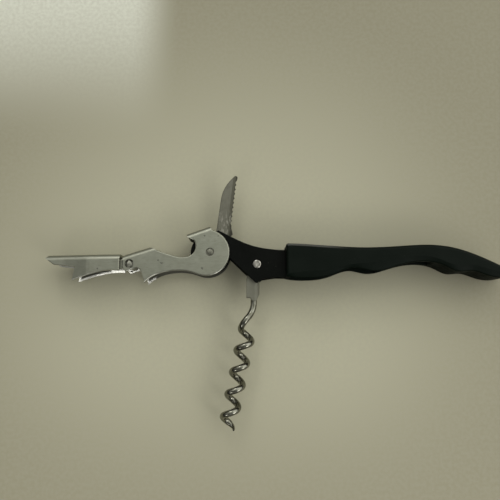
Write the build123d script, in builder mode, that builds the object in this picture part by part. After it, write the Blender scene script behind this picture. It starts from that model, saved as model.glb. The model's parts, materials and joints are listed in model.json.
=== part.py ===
from build123d import *
import math
import os

# Lever corkscrew with a two-step lever, a foil knife and a cap opener, lying on its side, opened out.
# X runs towards the tail of the handle, Y towards the knife, Z across the tool, up from the table.
# Outlines are given in millimetres from the lever pivot, in the middle plane of the tool.

os.makedirs("parts", exist_ok=True)

# Sheet and wall thicknesses
LEVER_SHEET = 1.0
FRAME_SHEET = 1.0
CARRIER_SHEET = 0.9
KNIFE_THICKNESS = 1.2
GRIP_LIP_WALL = 0.7
GRIP_BEVEL_RISE = 0.7
GRIP_SPINE_WALL = 1.25
SPRING_THICKNESS = 0.3

# Widths across the tool
FRAME_WIDTH = 8.0
LEVER_GAP = 0.6
LEVER_NEST_GAP = 0.3

# Running clearances
BORE_CLEARANCE = 0.05
WASHER_CLEARANCE = 0.05
TONGUE_CLEARANCE = 0.1
WRAP_CLEARANCE = 0.05

# Rivets
LEVER_RIVET_SHAFT = 2.4
LEVER_RIVET_HEAD = 3.2
WORM_RIVET_SHAFT = 2.2
WORM_RIVET_HEAD = 3.1
WORM_RIVET_DOME = 0.32
WORM_RIVET_FLAT = 2.3
STEP_RIVET_SHAFT = 2.2
STEP_RIVET_HEAD = 3.4
RIVET_GROOVE_DEPTH = 0.45
LEVER_RIVET_CROWN = 2.05
STEP_RIVET_CROWN = 1.9
RIVET_CROWN_DROP = 0.12

# Washers and spacers
WASHER_RIM = 1.2
KNIFE_SPACER_RIM = 1.1
STEP_SPACER_RIM = 0.7

# Pivots, from the lever pivot
WORM_PIVOT_X = 17.63
WORM_PIVOT_Y = -4.38
STEP_PIVOT_X = -30.1
STEP_PIVOT_Y = -4.4

# Frame
NOSE_RADIUS = 7.4
NOSE_ARC_START = 83.0
NOSE_ARC_END = 344.5
NOSE_WEB_START = 112.0
NOSE_WEB_END = 250.0
FRAME_SHOULDER = (2.9, 8.6)
FRAME_TOP = [(8.2, 5.9), (15.0, 2.95), (22.0, 1.42)]
FRAME_TOP_END = (29.0, 0.95)
FRAME_CHIN = (17.5, -11.7)
FRAME_CHIN_ROUND = 0.7
FRAME_BELLY = [(19.6, -10.0), (24.2, -9.3), (30.2, -9.3)]
TANG_START_X = 33.5
TANG_END_X = 52.0
TANG_DEPTH = 2.2
TANG_SPINE_GAP = 0.35

# Grip
GRIP_FRONT_X = 28.5
GRIP_FRONT_SLOPE = 0.7
GRIP_CORNER_ROUND = 0.9
GRIP_SPINE = [(42.0, 2.5), (57.5, 1.65), (71.0, 2.15), (82.0, 2.65), (91.0, 1.6), (100.5, -1.6)]
GRIP_SPINE_FRONT_Y = 3.2
GRIP_TAIL_X = 113.1
GRIP_TAIL = [(-0.9, -7.15), (0, -8.15), (-0.7, -9.0)]
GRIP_FLAT_TAIL = [(-1.9, -7.4), (-1.45, -7.85), (-2.0, -8.15)]
GRIP_BELLY = [(107.2, -9.7), (103.0, -8.8), (97.6, -7.15), (92.2, -7.3), (87.2, -5.1), (81.2, -3.65),
              (70.0, -5.2), (60.0, -7.15), (54.2, -6.05), (45.8, -8.5), (36.0, -9.85)]
GRIP_BELLY_FRONT_Y = -9.2
GRIP_CREASE = [(106.5, -7.3), (102.2, -6.2), (96.5, -4.9), (90.6, -4.9), (86.6, -3.3), (80.0, -1.75),
               (70.4, -2.7), (61.0, -4.1), (52.8, -4.8), (44.5, -6.6), (36.0, -7.4)]
GRIP_CREASE_FRONT_Y = -8.2
GRIP_SPINE_BEVEL = 0.8
SHELF_Y = -1.1
WIDE_CHANNEL_END_X = 64.0
NARROW_CHANNEL_END_X = 84.0
KNIFE_SLOT_WIDTH = 2.2
KNIFE_SLOT_END_X = 33.2
KNIFE_SLOT_TOP_Y = 4.0

# Lever, first stage
HEAD_CENTRE = (-1.4, -0.15)
HEAD_RADIUS = 8.75
HEAD_ARC_START = 77.0
HEAD_ARC_END = -112.0
HOOK_TIP = (-9.0, 6.85)
HOOK_END = (-0.2, 9.95)
HOOK_MOUTH = [(-8.55, 5.65), (-6.2, 4.55)]
MOUTH_DEPTH = (-5.45, 2.1)
MOUTH_LOWER = (-7.8, -1.45)
ARM_TOP = [(-10.4, -1.95), (-14.6, -1.1), (-18.3, 0.1)]
ARM_BELLY = [(-11.0, -6.92), (-18.7, -7.97)]
BEND_RADIUS = 2.0
BEND_OVERRUN = 2.2

# Lever, ears and first tooth, from the step pivot
TOOTH_TIP = (5.62, -7.07)
TOOTH_SWEEP = (-0.7, -0.72)
TOOTH_ROOT = (4.35, -3.2)
EAR_BELLY = [(3.05, -1.72), (1.4, -1.85)]
EAR_CORNER = (-1.2, -2.85)
EAR_ROUND = (-2.25, -2.15)
EAR_END_X = -2.55
EAR_LOWER_Y = -0.6
EAR_UPPER_Y = 1.9
HUMP_START = (-2.0, 3.4)
HUMP_END = (7.4, 6.35)

# Lever, second stage, from the step pivot
STEP_END_X = -3.75
STEP_END_TOP_Y = 3.7
BEAK_TOP = (-30.9, 3.3)
BEAK_TIP = (-32.0, 2.1)
BEAK_LOWER = [(-28.6, -0.27), (-25.8, -0.54)]
STEP_SEAT = (-20.66, -1.06)
STEP_TOOTH_TIP = (-21.6, -6.14)
STEP_BELLY = [(-15.97, -4.2), (-11.74, -3.08), (-8.07, -2.52)]
STEP_END_LOWER_Y = -2.49
TOE_IN_START_X = -14.8
TOE_IN_AT_SEAT = 0.6
TOE_IN_AT_BEAK = 1.3
STEP_BEND_RADIUS = 2.0
TONGUE_SHEET = 0.95
TONGUE_RADIUS = 1.8
TONGUE_ROOT_X = -8.4
STEP_OVERRUN = 1.0

# Worm carrier, from the worm pivot
CARRIER_EYE_RADIUS = 2.7
CARRIER_EYE_START = -60.0
CARRIER_EYE_END = 180.0
CARRIER_LEFT_X = -4.03
CARRIER_SHOULDER_Y = -5.6
CARRIER_FOOT_Y = -12.45
CARRIER_FOOT_WIDTH = 1.0
CARRIER_NOTCH_RADIUS = 0.9
CARRIER_END_Y = -13.8
CARRIER_WRAP_TOP_Y = -4.6
CARRIER_CHAMFER = 2.6

# Worm
WIRE_DIAMETER = 2.4
WORM_OUTER = 7.3
WORM_PITCH = 8.2
WORM_TILT = 11.6
WORM_AXIS_OFFSET = 1.34
SHANK_X = -1.2
SHANK_TOP_Y = -3.9
SHANK_END_Y = -14.1
FIRST_TURN_AT = 24.7
WIRE_QUARTER_TURNS = 17
TIP_TURN = 0.25
TIP_STEPS = 2
TIP_POINT_DIAMETER = 0.7

# Knife
KNIFE_EYE_RADIUS = 4.6
KNIFE_ROOT = (1.2, 4.44)
KNIFE_BACK = [(2.05, 9.1), (3.5, 19.9), (4.4, 24.1), (5.7, 26.75)]
KNIFE_BACK_END = (8.7, 30.25)
KNIFE_TIP = (9.5, 30.65)
KNIFE_TIP_END = (10.15, 30.05)
EDGE_START = (9.95, 29.3)
EDGE_END = (7.75, 10.2)
KNIFE_CHOIL = (8.3, 7.6)
KNIFE_HEEL = (4.0, 2.27)
BEVEL_WIDTH = 1.5
BEVEL_DEPTH = 0.45
SERRATION_PITCH = 1.8
SERRATION_RADIUS = 1.1
SERRATION_DEPTH = 0.46
SERRATION_MARGIN = 1.3

# Step spring
SPRING_MARGIN = 0.5
SPRING_SIDE_GAP = 0.1

# Sizes worked out from those above
FRAME_INNER = FRAME_WIDTH - 2 * FRAME_SHEET
LEVER_INNER = FRAME_WIDTH + 2 * LEVER_GAP
LEVER_WIDTH = LEVER_INNER + 2 * LEVER_SHEET
INNER_BEND_RADIUS = BEND_RADIUS - LEVER_SHEET
CHANNEL_WIDTH = LEVER_WIDTH + 2 * LEVER_NEST_GAP
GRIP_EDGE_WIDTH = CHANNEL_WIDTH + 2 * GRIP_LIP_WALL
GRIP_WIDTH = GRIP_EDGE_WIDTH + 2 * GRIP_BEVEL_RISE
TONGUE_OUTER = LEVER_INNER - 2 * TONGUE_CLEARANCE
TONGUE_INNER = TONGUE_OUTER - 2 * TONGUE_SHEET
CARRIER_INNER = WIRE_DIAMETER + 2 * WRAP_CLEARANCE
CARRIER_WIDTH = CARRIER_INNER + 2 * CARRIER_SHEET
WIRE_RADIUS = WIRE_DIAMETER / 2
WORM_RADIUS = (WORM_OUTER - WIRE_DIAMETER) / 2
WIRE_TURNS = WIRE_QUARTER_TURNS / 4
CUT_REACH = GRIP_TAIL_X

worm_direction = Vector(-math.sin(math.radians(WORM_TILT)), -math.cos(math.radians(WORM_TILT)))
worm_left = Vector(worm_direction.Y, -worm_direction.X)
worm_pivot = Vector(WORM_PIVOT_X, WORM_PIVOT_Y)
step_pivot = Vector(STEP_PIVOT_X, STEP_PIVOT_Y)
worm_axis_start = worm_pivot - worm_left * WORM_AXIS_OFFSET
worm_length = FIRST_TURN_AT + (WIRE_TURNS + TIP_TURN) * WORM_PITCH

# The lever pivot stands so that the middle of the whole tool is over the origin
PIVOT_X = -(GRIP_TAIL_X + STEP_PIVOT_X + BEAK_TIP[0]) / 2
PIVOT_Y = -(KNIFE_TIP[1] + (worm_axis_start + worm_direction * worm_length).Y) / 2
side = Plane(origin=(PIVOT_X, PIVOT_Y, GRIP_WIDTH / 2))


def from_step(point):
    """A point given from the step pivot, moved to the lever pivot."""
    return (step_pivot.X + point[0], step_pivot.Y + point[1])


def from_worm(point):
    """A point given from the worm pivot, moved to the lever pivot."""
    return (worm_pivot.X + point[0], worm_pivot.Y + point[1])


def sheet_quad(start, end, thickness):
    """The section of a straight web, lying to the right of the line from start to end."""
    along = (Vector(*end) - Vector(*start)).normalized()
    inward = Vector(along.Y, -along.X) * thickness
    return [Vector(*start), Vector(*end), Vector(*end) + inward, Vector(*start) + inward]


def web_plane(start, end):
    """A plane square to a web at its start: its X runs inwards from the web, its Y across the tool."""
    along = (Vector(*end) - Vector(*start)).normalized()
    return Plane(origin=side.from_local_coords(start), x_dir=(along.Y, -along.X, 0), z_dir=along)


def bend_corner(inset, radius):
    """What a bend leaves empty at both corners of a web, between a sharp corner and a round one."""
    edge = LEVER_WIDTH / 2 - inset
    diagonal = radius * (1 - math.sqrt(0.5))
    with BuildSketch() as corner:
        with BuildLine():
            Polyline((inset, edge - radius), (inset, edge), (inset + radius, edge))
            ThreePointArc((inset + radius, edge), (inset + diagonal, edge - diagonal), (inset, edge - radius))
        make_face()
        mirror(about=Plane.XZ)
    return corner.sketch


def export(builder, name):
    """Label a finished piece and write it."""
    builder.part.label = name
    export_step(builder.part, f"parts/{name}.step")


# Frame: folded steel channel, closed at the nose, with two tangs that run under the spine of the grip
def spine_inner_y(x):
    """Height of the inside of the spine over the front part of the grip."""
    front = (GRIP_FRONT_X, GRIP_SPINE_FRONT_Y)
    points = [front] + GRIP_SPINE
    for (x0, y0), (x1, y1) in zip(points, points[1:]):
        if x0 <= x <= x1:
            return y0 + (y1 - y0) * (x - x0) / (x1 - x0) - GRIP_SPINE_WALL
    return points[-1][1] - GRIP_SPINE_WALL


tang_top_start = (TANG_START_X, spine_inner_y(TANG_START_X) - TANG_SPINE_GAP)
tang_top_end = (TANG_END_X, spine_inner_y(TANG_END_X) - TANG_SPINE_GAP)

with BuildPart() as frame:
    with BuildSketch(side.offset(FRAME_INNER / 2)):
        with BuildLine():
            nose = CenterArc((0, 0), NOSE_RADIUS, NOSE_ARC_START, NOSE_ARC_END - NOSE_ARC_START)
            Polyline(nose @ 1, FRAME_CHIN, *FRAME_BELLY, (TANG_START_X, tang_top_start[1] - TANG_DEPTH),
                     (TANG_END_X, tang_top_end[1] - TANG_DEPTH), tang_top_end, tang_top_start, FRAME_TOP_END)
            Spline(FRAME_TOP_END, *reversed(FRAME_TOP), FRAME_SHOULDER)
            Line(FRAME_SHOULDER, nose @ 0)
        make_face()
        with Locations((0, 0)):
            Circle(LEVER_RIVET_SHAFT / 2 + BORE_CLEARANCE, mode=Mode.SUBTRACT)
        with Locations(worm_pivot):
            Circle(WORM_RIVET_SHAFT / 2, mode=Mode.SUBTRACT)
    extrude(amount=FRAME_SHEET)
    chin_edge = frame.edges().filter_by(Axis.Z).sort_by_distance(side.from_local_coords(FRAME_CHIN))[0]
    fillet(chin_edge, FRAME_CHIN_ROUND)
    mirror(about=side)
    with BuildSketch(side):
        with BuildLine():
            CenterArc((0, 0), NOSE_RADIUS - FRAME_SHEET / 2, NOSE_WEB_START, NOSE_WEB_END - NOSE_WEB_START)
            offset(amount=FRAME_SHEET / 2, side=Side.BOTH)
        make_face()
    extrude(amount=FRAME_INNER / 2, both=True)
export(frame, "frame")


# Grip: moulded channel with finger grooves, bevelled along its lower edge and along its spine
def grip_outline(level, front_x, spine_drop, tail, belly, belly_front_y):
    """The grip's side outline at one level across its width."""
    spine_front = (front_x, GRIP_SPINE_FRONT_Y - spine_drop)
    belly_front = (front_x, belly_front_y)
    tail_arc = [(GRIP_TAIL_X + x, y) for x, y in tail]
    with BuildSketch(side.offset(level)) as outline:
        with BuildLine():
            Spline(spine_front, *[(x, y - spine_drop) for x, y in GRIP_SPINE], tail_arc[0])
            ThreePointArc(*tail_arc)
            Spline(tail_arc[2], *belly, belly_front)
            Line(belly_front, spine_front)
        make_face()
        fillet(outline.vertices().sort_by(Axis.X)[:2].sort_by(Axis.Y)[-1], GRIP_CORNER_ROUND)
    return outline.sketch


grip_edge = grip_outline(GRIP_EDGE_WIDTH / 2, GRIP_FRONT_X, 0, GRIP_TAIL, GRIP_BELLY, GRIP_BELLY_FRONT_Y)
grip_flat = grip_outline(GRIP_WIDTH / 2, GRIP_FRONT_X + GRIP_FRONT_SLOPE, GRIP_SPINE_BEVEL,
                         GRIP_FLAT_TAIL, GRIP_CREASE, GRIP_CREASE_FRONT_Y)

with BuildPart() as grip:
    extrude(grip_edge, amount=-GRIP_EDGE_WIDTH / 2)
    loft(sections=[grip_edge.face(), grip_flat.face()], ruled=True)
    mirror(about=side)
    with BuildSketch(side):
        with BuildLine():
            inner = Spline((GRIP_FRONT_X, GRIP_SPINE_FRONT_Y - GRIP_SPINE_WALL),
                           *[(x, y - GRIP_SPINE_WALL) for x, y in GRIP_SPINE])
            Polyline(inner @ 1, inner @ 1 - Vector(0, CUT_REACH), inner @ 0 - Vector(CUT_REACH, CUT_REACH),
                     inner @ 0 - Vector(CUT_REACH, 0), inner @ 0)
        make_face()
        with Locations((NARROW_CHANNEL_END_X, 0)):
            Rectangle(CUT_REACH, 4 * CUT_REACH, align=(Align.MIN, Align.CENTER), mode=Mode.SUBTRACT)
    extrude(amount=FRAME_WIDTH / 2, both=True, mode=Mode.SUBTRACT)
    channels = [(WIDE_CHANNEL_END_X, SHELF_Y, CHANNEL_WIDTH),
                (KNIFE_SLOT_END_X, KNIFE_SLOT_TOP_Y, KNIFE_SLOT_WIDTH)]
    for end_x, top_y, width in channels:
        with BuildSketch(side):
            with Locations((end_x, top_y)):
                Rectangle(CUT_REACH, CUT_REACH, align=(Align.MAX, Align.MAX))
        extrude(amount=width / 2, both=True, mode=Mode.SUBTRACT)
export(grip, "grip")


# Lever arm: first stage of the lever, with the cap-opener hook, the first tooth and the ears
ear_top = from_step((EAR_END_X, EAR_UPPER_Y))
hump_start = from_step(HUMP_START)
hump_end = from_step(HUMP_END)
tooth_tip = from_step(TOOTH_TIP)

lever_webs = [(HOOK_TIP, HOOK_END), (hump_start, hump_end)]

with BuildSketch(side) as lever_outline:
    with BuildLine():
        head = CenterArc(HEAD_CENTRE, HEAD_RADIUS, HEAD_ARC_START, HEAD_ARC_END - HEAD_ARC_START)
        Line(HOOK_END, head @ 0)
        Spline(head @ 1, *ARM_BELLY, tooth_tip, tangents=[head % 1, TOOTH_SWEEP])
        Line(tooth_tip, from_step(TOOTH_ROOT))
        ear = Spline(from_step(TOOTH_ROOT), *[from_step(point) for point in EAR_BELLY], from_step(EAR_CORNER))
        ThreePointArc(ear @ 1, from_step(EAR_ROUND), from_step((EAR_END_X, EAR_LOWER_Y)))
        Polyline(from_step((EAR_END_X, EAR_LOWER_Y)), ear_top, hump_start, hump_end)
        Spline(hump_end, *reversed(ARM_TOP), MOUTH_LOWER)
        ThreePointArc(MOUTH_LOWER, MOUTH_DEPTH, HOOK_MOUTH[1])
        Polyline(HOOK_MOUTH[1], HOOK_MOUTH[0], HOOK_TIP, HOOK_END)
    make_face()


def lever_web(start, end):
    """A web across the lever, with the inner rounds of its two bends, within the side outline."""
    with BuildPart() as web:
        extrude(lever_outline.sketch, amount=LEVER_WIDTH / 2, both=True)
        with BuildSketch(web_plane(start, end)):
            Rectangle(LEVER_SHEET, LEVER_WIDTH, align=(Align.MIN, Align.CENTER))
            add(bend_corner(LEVER_SHEET, INNER_BEND_RADIUS))
        extrude(amount=(Vector(*end) - Vector(*start)).length, mode=Mode.INTERSECT)
    return web.part


with BuildPart() as lever_arm:
    extrude(lever_outline.sketch, amount=LEVER_WIDTH / 2, both=True)
    extrude(lever_outline.sketch, amount=LEVER_INNER / 2, both=True, mode=Mode.SUBTRACT)
    for start, end in lever_webs:
        add(lever_web(start, end))
    for start, end in lever_webs:
        with BuildSketch(web_plane(start, end).offset(-BEND_OVERRUN)):
            add(bend_corner(0, BEND_RADIUS))
        extrude(amount=(Vector(*end) - Vector(*start)).length + 2 * BEND_OVERRUN, mode=Mode.SUBTRACT)
    with BuildSketch(side):
        Circle(LEVER_RIVET_HEAD / 2)
        with Locations(step_pivot):
            Circle(STEP_RIVET_HEAD / 2)
    extrude(amount=LEVER_WIDTH, both=True, mode=Mode.SUBTRACT)
export(lever_arm, "lever_arm")


# Step arm: second stage of the lever, a channel that narrows towards its beak, with two hinge tongues
def step_top_y(x):
    """Height of the second stage's back at a place along it."""
    slope = (STEP_END_TOP_Y - BEAK_TOP[1]) / (STEP_END_X - BEAK_TOP[0])
    return BEAK_TOP[1] + slope * (x - BEAK_TOP[0])


def step_section(x, draw_in, inset, corner):
    """A square cut through the second stage, open downwards, inset by a sheet thickness."""
    back = side.from_local_coords(from_step((x, step_top_y(x) - inset)))
    with BuildSketch(Plane(origin=back, x_dir=(0, 1, 0), z_dir=(1, 0, 0))) as section:
        Rectangle(GRIP_WIDTH, LEVER_WIDTH - 2 * draw_in - 2 * inset, align=(Align.MAX, Align.CENTER))
        fillet(section.vertices().sort_by(Axis.X)[-2:], corner)
    return section.sketch.face()


def step_channel(inset, corner):
    """The sections of the second stage, from past its hinge end to past its beak."""
    draw_in_per_mm = (TOE_IN_AT_BEAK - TOE_IN_AT_SEAT) / (STEP_SEAT[0] - BEAK_TIP[0])
    past_beak = BEAK_TIP[0] - STEP_OVERRUN
    return [
        step_section(STEP_END_X + STEP_OVERRUN, 0, inset, corner),
        step_section(TOE_IN_START_X, 0, inset, corner),
        step_section(STEP_SEAT[0], TOE_IN_AT_SEAT, inset, corner),
        step_section(past_beak, TOE_IN_AT_BEAK + draw_in_per_mm * STEP_OVERRUN, inset, corner),
    ]


with BuildPart() as step_arm:
    loft(sections=step_channel(0, STEP_BEND_RADIUS), ruled=True)
    loft(sections=step_channel(LEVER_SHEET, STEP_BEND_RADIUS - LEVER_SHEET), ruled=True, mode=Mode.SUBTRACT)
    with BuildSketch(side):
        with BuildLine():
            Polyline(from_step((STEP_END_X, STEP_END_TOP_Y)), from_step(BEAK_TOP), from_step(BEAK_TIP),
                     *[from_step(point) for point in BEAK_LOWER], from_step(STEP_SEAT),
                     from_step(STEP_TOOTH_TIP))
            Spline(from_step(STEP_TOOTH_TIP), *[from_step(point) for point in STEP_BELLY],
                   from_step((STEP_END_X, STEP_END_LOWER_Y)))
            Line(from_step((STEP_END_X, STEP_END_LOWER_Y)), from_step((STEP_END_X, STEP_END_TOP_Y)))
        make_face()
    extrude(amount=GRIP_WIDTH, both=True, mode=Mode.INTERSECT)
    with BuildSketch(side.offset(TONGUE_INNER / 2)):
        with BuildLine():
            tongue_tip = CenterArc(step_pivot, TONGUE_RADIUS, 90, -180)
            Polyline(tongue_tip @ 1, from_step((TONGUE_ROOT_X, -TONGUE_RADIUS)),
                     from_step((TONGUE_ROOT_X, TONGUE_RADIUS)), tongue_tip @ 0)
        make_face()
        with Locations(step_pivot):
            Circle(STEP_RIVET_SHAFT / 2 + BORE_CLEARANCE, mode=Mode.SUBTRACT)
    extrude(amount=TONGUE_SHEET)
    with BuildSketch(side.offset(TONGUE_OUTER / 2)):
        with Locations(from_step((STEP_END_X, 0))):
            Rectangle(STEP_END_X - TONGUE_ROOT_X, 2 * TONGUE_RADIUS, align=(Align.MAX, Align.CENTER))
    extrude(amount=TONGUE_CLEARANCE)
    mirror(about=side)
export(step_arm, "step_arm")


# Rivets, washers and spacers, all turned about an axis across the tool
def turned(centre, profile):
    """A piece turned about a pivot: its profile is given as radius and level, for the upper half."""
    axis_plane = Plane(origin=side.from_local_coords(centre), x_dir=(1, 0, 0), z_dir=(0, -1, 0))
    with BuildPart() as piece:
        with BuildSketch(axis_plane):
            with BuildLine():
                Polyline(*profile, close=True)
            make_face()
        revolve(axis=Axis(axis_plane.origin, (0, 0, 1)))
        mirror(about=side)
    return piece


def tube(centre, low, high, bore, rim):
    """A washer or spacer between two levels, with a rim around its bore."""
    with BuildPart() as piece:
        with BuildSketch(side.offset(low)):
            with Locations(centre):
                Circle(bore / 2 + rim)
                Circle(bore / 2, mode=Mode.SUBTRACT)
        extrude(amount=high - low)
    return piece


def flush_rivet(centre, shaft, head, crown):
    """A rivet set flush in the lever's cheeks, with a groove around its low crown."""
    face = LEVER_WIDTH / 2
    return turned(centre, [
        (0, 0),
        (shaft / 2, 0),
        (shaft / 2, LEVER_INNER / 2),
        (head / 2, LEVER_INNER / 2),
        (head / 2, face - RIVET_GROOVE_DEPTH),
        (crown / 2, face - RIVET_GROOVE_DEPTH),
        (crown / 2, face - RIVET_CROWN_DROP),
        (0, face),
    ])


lever_pivot = (0, 0)
export(flush_rivet(lever_pivot, LEVER_RIVET_SHAFT, LEVER_RIVET_HEAD, LEVER_RIVET_CROWN), "lever_rivet")
export(flush_rivet(step_pivot, STEP_RIVET_SHAFT, STEP_RIVET_HEAD, STEP_RIVET_CROWN), "step_rivet")

worm_rivet = turned(worm_pivot, [
    (0, 0),
    (WORM_RIVET_SHAFT / 2, 0),
    (WORM_RIVET_SHAFT / 2, FRAME_WIDTH / 2),
    (WORM_RIVET_HEAD / 2, FRAME_WIDTH / 2),
    (WORM_RIVET_HEAD / 2, FRAME_WIDTH / 2 + WORM_RIVET_DOME / 2),
    (WORM_RIVET_FLAT / 2, FRAME_WIDTH / 2 + WORM_RIVET_DOME),
    (0, FRAME_WIDTH / 2 + WORM_RIVET_DOME),
])
export(worm_rivet, "worm_rivet")

lever_washer_low = FRAME_WIDTH / 2 + WASHER_CLEARANCE
lever_washer_high = LEVER_INNER / 2 - WASHER_CLEARANCE
worm_washer_low = CARRIER_WIDTH / 2 + WASHER_CLEARANCE
worm_washer_high = FRAME_INNER / 2 - WASHER_CLEARANCE
knife_spacer_low = KNIFE_THICKNESS / 2 + WASHER_CLEARANCE
knife_spacer_high = FRAME_INNER / 2 - WASHER_CLEARANCE
lever_washer_bore = LEVER_RIVET_SHAFT + 2 * BORE_CLEARANCE
worm_washer_bore = WORM_RIVET_SHAFT + 2 * BORE_CLEARANCE
step_spacer_bore = STEP_RIVET_SHAFT + 2 * BORE_CLEARANCE

paired_rings = [
    ("lever_washer", lever_pivot, lever_washer_low, lever_washer_high, lever_washer_bore, WASHER_RIM),
    ("worm_washer", worm_pivot, worm_washer_low, worm_washer_high, worm_washer_bore, WASHER_RIM),
    ("knife_spacer", lever_pivot, knife_spacer_low, knife_spacer_high, lever_washer_bore, KNIFE_SPACER_RIM),
]
for name, centre, low, high, bore, rim in paired_rings:
    export(tube(centre, low, high, bore, rim), f"{name}_near")
    export(tube(centre, -high, -low, bore, rim), f"{name}_far")

step_spacer_end = TONGUE_INNER / 2 - WASHER_CLEARANCE
step_spacer = tube(step_pivot, -step_spacer_end, step_spacer_end, step_spacer_bore, STEP_SPACER_RIM)
export(step_spacer, "step_spacer")

# Step spring: leaf under the web of the first stage, over the tongues of the second
with BuildPart() as step_spring:
    with BuildSketch(side):
        with BuildLine():
            under_web = sheet_quad(hump_start, hump_end, LEVER_SHEET)
            along_web = (under_web[2] - under_web[3]).normalized()
            spring_start = under_web[3] + along_web * SPRING_MARGIN
            spring_end = under_web[2] - along_web * SPRING_MARGIN
            Polyline(*sheet_quad(spring_start, spring_end, SPRING_THICKNESS), close=True)
        make_face()
    extrude(amount=LEVER_INNER / 2 - INNER_BEND_RADIUS - SPRING_SIDE_GAP, both=True)
export(step_spring, "step_spring")

# Worm carrier: sheet folded round the shank of the worm, with two flanges that turn on the worm rivet
with BuildPart() as worm_carrier:
    with BuildSketch(side.offset(CARRIER_INNER / 2)):
        with BuildLine():
            foot = from_worm((CARRIER_LEFT_X, CARRIER_FOOT_Y))
            foot_end = from_worm((CARRIER_LEFT_X + CARRIER_FOOT_WIDTH, CARRIER_FOOT_Y))
            shoulder = from_worm((CARRIER_LEFT_X, CARRIER_SHOULDER_Y))
            eye = CenterArc(worm_pivot, CARRIER_EYE_RADIUS, CARRIER_EYE_START,
                            CARRIER_EYE_END - CARRIER_EYE_START)
            Polyline(eye @ 1, shoulder, foot, foot_end)
            notch = RadiusArc(foot_end, from_worm((CARRIER_LEFT_X + CARRIER_FOOT_WIDTH + CARRIER_NOTCH_RADIUS,
                                                   CARRIER_FOOT_Y - CARRIER_NOTCH_RADIUS)),
                              CARRIER_NOTCH_RADIUS)
            Polyline(notch @ 1, from_worm((SHANK_X, CARRIER_END_Y)), from_worm((SHANK_X, CARRIER_WRAP_TOP_Y)),
                     eye @ 0)
        make_face()
        with Locations(worm_pivot):
            Circle(WORM_RIVET_SHAFT / 2 + BORE_CLEARANCE, mode=Mode.SUBTRACT)
    extrude(amount=CARRIER_SHEET)
    mirror(about=side)
    wrap_top = side.from_local_coords(from_worm((SHANK_X, CARRIER_WRAP_TOP_Y)))
    with BuildSketch(Plane(origin=wrap_top, x_dir=(1, 0, 0), z_dir=(0, -1, 0))):
        Circle(CARRIER_WIDTH / 2)
        Circle(CARRIER_INNER / 2, mode=Mode.SUBTRACT)
        Rectangle(CARRIER_WIDTH, 2 * CARRIER_WIDTH, align=(Align.MAX, Align.CENTER), mode=Mode.SUBTRACT)
    extrude(amount=CARRIER_WRAP_TOP_Y - CARRIER_END_Y)
    with BuildSketch(side):
        with BuildLine():
            corner = Vector(*from_worm((SHANK_X + CARRIER_WIDTH / 2, CARRIER_END_Y)))
            Polyline(corner, corner + Vector(0, CARRIER_CHAMFER), corner - Vector(CARRIER_CHAMFER / 2, 0),
                     close=True)
        make_face()
    extrude(amount=GRIP_WIDTH, both=True, mode=Mode.SUBTRACT)
export(worm_carrier, "worm_carrier")


# Worm: one wire, straight in the carrier, then wound to the right, ending in a tapered point
def on_helix(turn):
    """A point on the middle line of the wound wire, and its direction, some turns past the first."""
    angle = -2 * math.pi * turn
    centre = worm_axis_start + worm_direction * (FIRST_TURN_AT + turn * WORM_PITCH)
    spot = centre + worm_left * (WORM_RADIUS * math.cos(angle)) + Vector(0, 0, WORM_RADIUS * math.sin(angle))
    climb = worm_direction * (WORM_PITCH / (2 * math.pi))
    round_about = worm_left * (WORM_RADIUS * math.sin(angle)) - Vector(0, 0, WORM_RADIUS * math.cos(angle))
    return spot, (climb + round_about).normalized()


def biarc_middle(start, start_way, end, end_way):
    """Where two arcs that join two directed points meet, and their direction there."""
    chord = end - start
    both_ways = start_way + end_way
    share = chord.dot(both_ways)
    spread = 2 * (1 - start_way.dot(end_way))
    reach = (math.sqrt(share * share + spread * chord.dot(chord)) - share) / spread
    first_corner = start + start_way * reach
    second_corner = end - end_way * reach
    return (first_corner + second_corner) / 2, (second_corner - first_corner).normalized()


def wind(stations):
    """Draw the wire's middle line through directed points, with two arcs between each pair."""
    for (start, start_way), (end, end_way) in zip(stations, stations[1:]):
        middle, middle_way = biarc_middle(start, start_way, end, end_way)
        TangentArc(side.from_local_coords(start), side.from_local_coords(middle), tangent=start_way)
        TangentArc(side.from_local_coords(middle), side.from_local_coords(end), tangent=middle_way)


shank_top = Vector(*from_worm((SHANK_X, SHANK_TOP_Y)))
shank_end = Vector(*from_worm((SHANK_X, SHANK_END_Y)))
wire_stations = [(shank_end, Vector(0, -1, 0))]
wire_stations += [on_helix(quarter / 4) for quarter in range(WIRE_QUARTER_TURNS + 1)]
tip_stations = [on_helix(WIRE_TURNS + TIP_TURN * step / TIP_STEPS) for step in range(TIP_STEPS + 1)]

with BuildPart() as worm:
    with BuildLine() as wire_path:
        Line(side.from_local_coords(shank_top), side.from_local_coords(shank_end))
        wind(wire_stations)
    with BuildSketch(Plane(origin=wire_path.line @ 0, z_dir=wire_path.line % 0)):
        Circle(WIRE_RADIUS)
    sweep()
    with BuildLine() as tip_path:
        wind(tip_stations)
    for place, diameter in ((0, WIRE_DIAMETER), (1, TIP_POINT_DIAMETER)):
        with BuildSketch(Plane(origin=tip_path.line @ place, z_dir=tip_path.line % place)):
            Circle(diameter / 2)
    sweep(multisection=True)
export(worm, "worm")

# Least gap of the wound wire to itself, from points along its middle line, half a turn or more apart
TRACE_STEPS = 60
trace = [on_helix(step / TRACE_STEPS)[0] for step in range(TRACE_STEPS * WIRE_QUARTER_TURNS // 4)]
least = min((a - b).length for i, a in enumerate(trace) for b in trace[i + TRACE_STEPS // 2:])
print(f"worm: least gap to itself {least - WIRE_DIAMETER:.2f} mm")

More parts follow.
